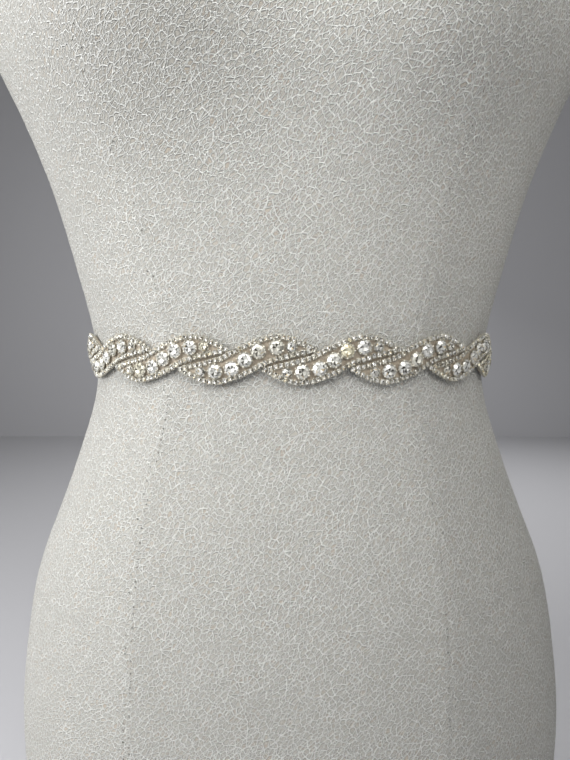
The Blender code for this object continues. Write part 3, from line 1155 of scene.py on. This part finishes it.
def make_lights():
    """A window to the left, low and high, and weaker fill from the front and the right."""
    middle = (0.0, 0.0, 0.36)
    area_light("window_low", (-0.9, -0.5, 0.6), middle, (0.5, 0.5), 9.8)
    area_light("window_high", (-0.7, -0.5, 1.4), middle, (0.8, 0.8), 4.5)
    area_light("front_low", (0.0, -0.8, 0.85), middle, (0.5, 0.5), 1.3)
    area_light("front_high", (0.0, -0.7, 1.2), middle, (0.7, 0.7), 4.7)
    warm, beam = (1.0, 0.985, 0.95), math.radians(50)
    area_light("right_fill", (0.45, -0.7, 0.95), (0.05, 0.0, 0.55), (0.4, 0.4), 0.36, warm, beam)
    area_light("right_spark", (0.75, -0.75, 0.5), middle, (0.12, 0.12), 0.85)
    area_light("back_fill", (0.35, 1.15, 1.2), middle, (0.9, 0.9), 12.0)
    world = bpy.data.worlds.new("studio")
    bpy.context.scene.world = world
    world.use_nodes = True
    world.node_tree.nodes["Background"].inputs[0].default_value = (1.0, 0.995, 0.985, 1.0)
    world.node_tree.nodes["Background"].inputs[1].default_value = 0.1


CAMERA_AWAY = 389.0
CAMERA_ABOVE_SASH = 14.4
CAMERA_DOWN = 4.8
CAMERA_LEFT = 0.43
FOCAL_PIXELS = 594.0
FRAME_WIDTH, FRAME_HEIGHT = 570, 760


def make_camera():
    data = bpy.data.cameras.new("photo_camera")
    data.sensor_fit = "VERTICAL"
    data.sensor_height = 36.0
    data.lens = 36.0 * FOCAL_PIXELS / FRAME_HEIGHT
    data.clip_start = 0.01
    camera = bpy.data.objects.new("photo_camera", data)
    height = SASH_HEIGHT + CAMERA_ABOVE_SASH
    camera.location = Vector((0.0, AXIS_SHIFT - CAMERA_AWAY, height)) * MM
    camera.rotation_euler = (math.radians(90 - CAMERA_DOWN), 0.0, math.radians(CAMERA_LEFT))
    bpy.context.scene.collection.objects.link(camera)
    bpy.context.scene.camera = camera
    bpy.context.scene.view_settings.view_transform = "Standard"


# --- the add-on ---------------------------------------------------------------


def colour_property(name, description, default):
    return bpy.props.FloatVectorProperty(
        name=name, description=description, default=default, subtype="COLOR", size=3, min=0.0, max=1.0
    )


def length_property(name, description, default):
    return bpy.props.FloatProperty(
        name=name, description=description, default=default, min=0.0001, unit="LENGTH", subtype="DISTANCE"
    )


class SashLook(bpy.types.PropertyGroup):
    """Colours and textures of the sash and the form."""

    cell_size: length_property("Crackle cell", "Width of the cells in the cover's web of threads", 0.0026)
    thread_colour: colour_property("Thread", "Raised threads of the cover", (0.95, 0.955, 0.92))
    ground_colour: colour_property("Ground", "Cover between the threads", (0.475, 0.458, 0.416))
    # Painted shade: the ground's colour beside the raised threads.
    painted_shade_colour: colour_property("Shade", "Ground beside the threads", (0.30, 0.297, 0.27))
    bare_colour: colour_property("Bare cell", "Tan lining that shows in the widest cells", (0.47, 0.405, 0.33))
    backing_colour: colour_property("Backing", "Tape behind the stones", (0.47, 0.40, 0.31))
    silver_colour: colour_property("Silver", "Cups, chain and claws", (0.60, 0.575, 0.495))
    # Painted reflections and highlights: the facet colours below stand in for what each facet reflects.
    dark_facet: colour_property("Dark facet", "Facets that look into the dark", (0.07, 0.065, 0.055))
    warm_facet: colour_property("Warm facet", "Facets that show the backing", (0.55, 0.46, 0.31))
    grey_facet: colour_property("Grey facet", "Facets half lit", (0.40, 0.395, 0.365))
    pale_facet: colour_property("Pale facet", "Facets well lit", (0.66, 0.66, 0.62))
    tinted_stone: colour_property("Tinted stone", "Cast of the warmer stones", (1.0, 0.9, 0.58))
    bright_facet: colour_property("Bright facet", "Facets that throw the light back", (0.85, 0.85, 0.81))
    floor_colour: colour_property("Floor", "Pale floor and wall of the stage", (0.50, 0.50, 0.52))


class SashSizes(bpy.types.PropertyGroup):
    """Sizes of the trim."""

    chain_pitch: length_property("Chain pitch", "Distance between neighbouring chain stones", 0.00275)
    large_stone: length_property("Large stone", "Width of a large set stone with its cup", 0.0081)
    small_stone: length_property("Small stone", "Width of a small set stone with its cup", 0.0058)


class BuildCover(bpy.types.Operator):
    """Build the form's panelled cover with its seams"""

    bl_idname = "sash.build_cover"
    bl_label = "Form cover"

    def execute(self, context):
        make_cover()
        make_stitches()
        make_needle_holes()
        return {"FINISHED"}


class BuildBand(bpy.types.Operator):
    """Build the sash's backing band"""

    bl_idname = "sash.build_band"
    bl_label = "Sash band"

    def execute(self, context):
        make_band()
        return {"FINISHED"}


class BuildMotifs(bpy.types.Operator):
    """Build the beaded crystal motifs along the sash"""

    bl_idname = "sash.build_motifs"
    bl_label = "Beaded motifs"

    def execute(self, context):
        make_motifs()
        return {"FINISHED"}


class FinishClosure(bpy.types.Operator):
    """Give the hook and eye at the back their metal"""

    bl_idname = "sash.finish_closure"
    bl_label = "Closure"

    def execute(self, context):
        make_closure()
        return {"FINISHED"}


class BuildStage(bpy.types.Operator):
    """Set up the floor, the lights and the camera"""

    bl_idname = "sash.build_stage"
    bl_label = "Stage"

    def execute(self, context):
        make_stage()
        make_lights()
        make_camera()
        return {"FINISHED"}


OPERATORS = (BuildCover, BuildBand, BuildMotifs, FinishClosure, BuildStage)


class SashPanel(bpy.types.Panel):
    """Sizes, colours and build steps of the sash"""

    bl_idname = "VIEW3D_PT_sash"
    bl_label = "Bridal sash"
    bl_space_type = "VIEW_3D"
    bl_region_type = "UI"
    bl_category = "Sash"

    def draw(self, context):
        for group in (context.scene.sash_sizes, context.scene.sash_look):
            box = self.layout.box()
            for name in group.__annotations__:
                box.prop(group, name)
        for operator in OPERATORS:
            self.layout.operator(operator.bl_idname)


CLASSES = (SashLook, SashSizes) + OPERATORS + (SashPanel,)


def register():
    for cls in CLASSES:
        bpy.utils.register_class(cls)
    bpy.types.Scene.sash_look = bpy.props.PointerProperty(type=SashLook)
    bpy.types.Scene.sash_sizes = bpy.props.PointerProperty(type=SashSizes)


def unregister():
    del bpy.types.Scene.sash_sizes
    del bpy.types.Scene.sash_look
    for cls in reversed(CLASSES):
        bpy.utils.unregister_class(cls)


def main():
    register()
    bpy.ops.sash.build_cover()
    bpy.ops.sash.build_band()
    bpy.ops.sash.build_motifs()
    bpy.ops.sash.finish_closure()
    bpy.ops.sash.build_stage()
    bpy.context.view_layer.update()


if __name__ == "__main__":
    main()
